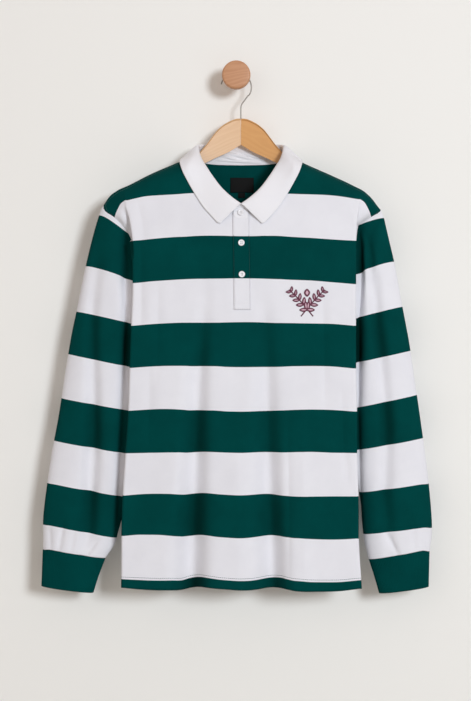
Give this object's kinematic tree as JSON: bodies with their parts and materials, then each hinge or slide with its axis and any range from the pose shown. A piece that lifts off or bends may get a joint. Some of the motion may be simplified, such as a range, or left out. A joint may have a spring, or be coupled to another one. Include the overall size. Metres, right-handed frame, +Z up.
{
  "type": "rugby shirt on hanger and wall peg",
  "caption": "Long-sleeved rugby shirt with broad stripes, a turned-down collar and a buttoned placket, hung on a wooden hanger from a round wall peg.",
  "frame": {"origin": "centre of the peg's flat back, on the wall", "axes": "+Y out of the peg's back into the wall, so the shirt's front faces -Y; +Z up; +X to the wearer's left"},
  "size_m": [0.66, 0.1185, 0.9019],
  "materials": {
    "jersey": "heavy cotton jersey in broad dark green and white stripes",
    "rib": "knitted rib, dark green",
    "twill": "white cotton twill",
    "button": "white, softly glossy",
    "label": "woven satin, near black, bare",
    "hanger_wood": "clear-lacquered pale wood",
    "hook_steel": "polished wire",
    "peg_wood": "oiled wood, satin"
  },
  "bodies": {
    "root": {"front": "jersey", "back": "jersey", "sleeve_right": "jersey", "sleeve_left": "jersey", "cuff_right": "rib", "cuff_left": "rib", "collar_band": "twill", "collar_leaf": "twill", "placket": "jersey", "button_1": "button", "button_2": "button", "button_3": "button", "neck_label": "label", "size_tab": "label", "hanger_right": "hanger_wood", "hanger_left": "hanger_wood", "hook": "hook_steel", "wall_peg": "peg_wood"}
  },
  "joints": []
}
